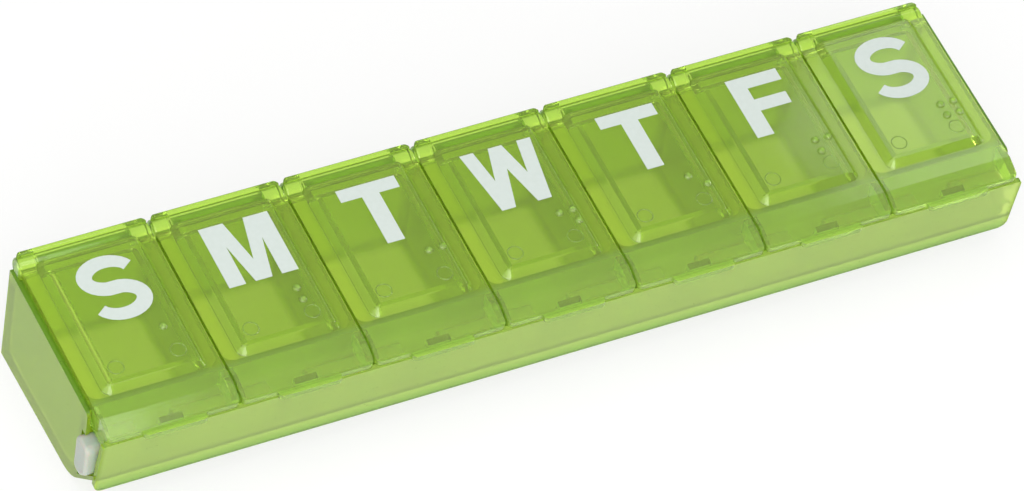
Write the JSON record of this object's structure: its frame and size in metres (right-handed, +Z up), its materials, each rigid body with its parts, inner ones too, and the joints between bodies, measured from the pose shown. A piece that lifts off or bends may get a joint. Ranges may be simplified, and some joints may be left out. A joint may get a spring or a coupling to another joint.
{
  "type": "weekly pill organizer",
  "caption": "Long pill organizer: a row of wells, each under its own hinged lid with a thumb tab, and a sliding bar that locks every lid.",
  "frame": {"origin": "centre of the tray's underside", "axes": "+X along the row of wells, +Y from the thumb tabs to the hinges, +Z up"},
  "size_m": [0.2165, 0.051, 0.0294],
  "materials": {
    "frosted_tray": "translucent lime polypropylene, satin outside",
    "clear_lid": "clear lime polystyrene, polished mould",
    "white_bar": "opaque white polypropylene, satin"
  },
  "bodies": {
    "tray": {"tray": "frosted_tray"},
    "lock_bar": {"lock_bar": "white_bar"},
    "lid_sunday": {"lid_sunday": "clear_lid"},
    "lid_monday": {"lid_monday": "clear_lid"},
    "lid_tuesday": {"lid_tuesday": "clear_lid"},
    "lid_wednesday": {"lid_wednesday": "clear_lid"},
    "lid_thursday": {"lid_thursday": "clear_lid"},
    "lid_friday": {"lid_friday": "clear_lid"},
    "lid_saturday": {"lid_saturday": "clear_lid"}
  },
  "joints": [
    {"name": "lid_sunday_hinge", "type": "hinge", "parent": "tray", "child": "lid_sunday", "pos_m": [-0.0912, 0.0235, 0.0261], "axis": [-1, 0, 0], "range_deg": [0, 110]},
    {"name": "lid_monday_hinge", "type": "hinge", "parent": "tray", "child": "lid_monday", "pos_m": [-0.0608, 0.0235, 0.0261], "axis": [-1, 0, 0], "range_deg": [0, 110]},
    {"name": "lid_tuesday_hinge", "type": "hinge", "parent": "tray", "child": "lid_tuesday", "pos_m": [-0.0304, 0.0235, 0.0261], "axis": [-1, 0, 0], "range_deg": [0, 110]},
    {"name": "lid_wednesday_hinge", "type": "hinge", "parent": "tray", "child": "lid_wednesday", "pos_m": [0, 0.0235, 0.0261], "axis": [-1, 0, 0], "range_deg": [0, 110]},
    {"name": "lid_thursday_hinge", "type": "hinge", "parent": "tray", "child": "lid_thursday", "pos_m": [0.0304, 0.0235, 0.0261], "axis": [-1, 0, 0], "range_deg": [0, 110]},
    {"name": "lid_friday_hinge", "type": "hinge", "parent": "tray", "child": "lid_friday", "pos_m": [0.0608, 0.0235, 0.0261], "axis": [-1, 0, 0], "range_deg": [0, 110]},
    {"name": "lid_saturday_hinge", "type": "hinge", "parent": "tray", "child": "lid_saturday", "pos_m": [0.0912, 0.0235, 0.0261], "axis": [-1, 0, 0], "range_deg": [0, 110]},
    {"name": "lock_bar_slide", "type": "slide", "parent": "tray", "child": "lock_bar", "axis": [1, 0, 0], "range_m": [0, 0.003]}
  ]
}
